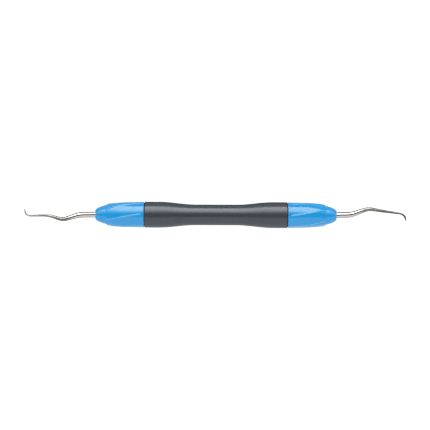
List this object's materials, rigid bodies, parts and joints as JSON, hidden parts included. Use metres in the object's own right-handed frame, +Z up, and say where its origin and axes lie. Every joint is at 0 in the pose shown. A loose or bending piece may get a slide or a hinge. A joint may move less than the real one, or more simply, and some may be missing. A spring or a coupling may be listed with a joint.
{
  "type": "hand scaler",
  "caption": "Double-ended dental hand scaler: waisted silicone grip between two faceted noses, each with a bent steel shank and a fine hooked blade.",
  "frame": {"origin": "middle of the handle on its centre line, halfway between the ends of the two noses", "axes": "+X along the instrument towards the right tip, +Z up with the handle lying on its side, +Y the side towards which the right tip bends"},
  "size_m": [0.172, 0.0116, 0.0116],
  "materials": {
    "grey_silicone": "satin moulded silicone",
    "blue_plastic": "satin moulded plastic",
    "polished_steel": "polished stainless steel",
    "turned_steel": "turned stainless steel",
    "black_rubber": "matt rubber"
  },
  "bodies": {
    "root": {"grip_sleeve": "grey_silicone", "core_tube": "turned_steel", "left_tip": "polished_steel", "left_cone": "blue_plastic", "left_tip_holder": "turned_steel", "left_lock_pin": "turned_steel", "left_seal_ring": "black_rubber", "right_tip": "polished_steel", "right_cone": "blue_plastic", "right_tip_holder": "turned_steel", "right_lock_pin": "turned_steel", "right_seal_ring": "black_rubber"}
  },
  "joints": []
}
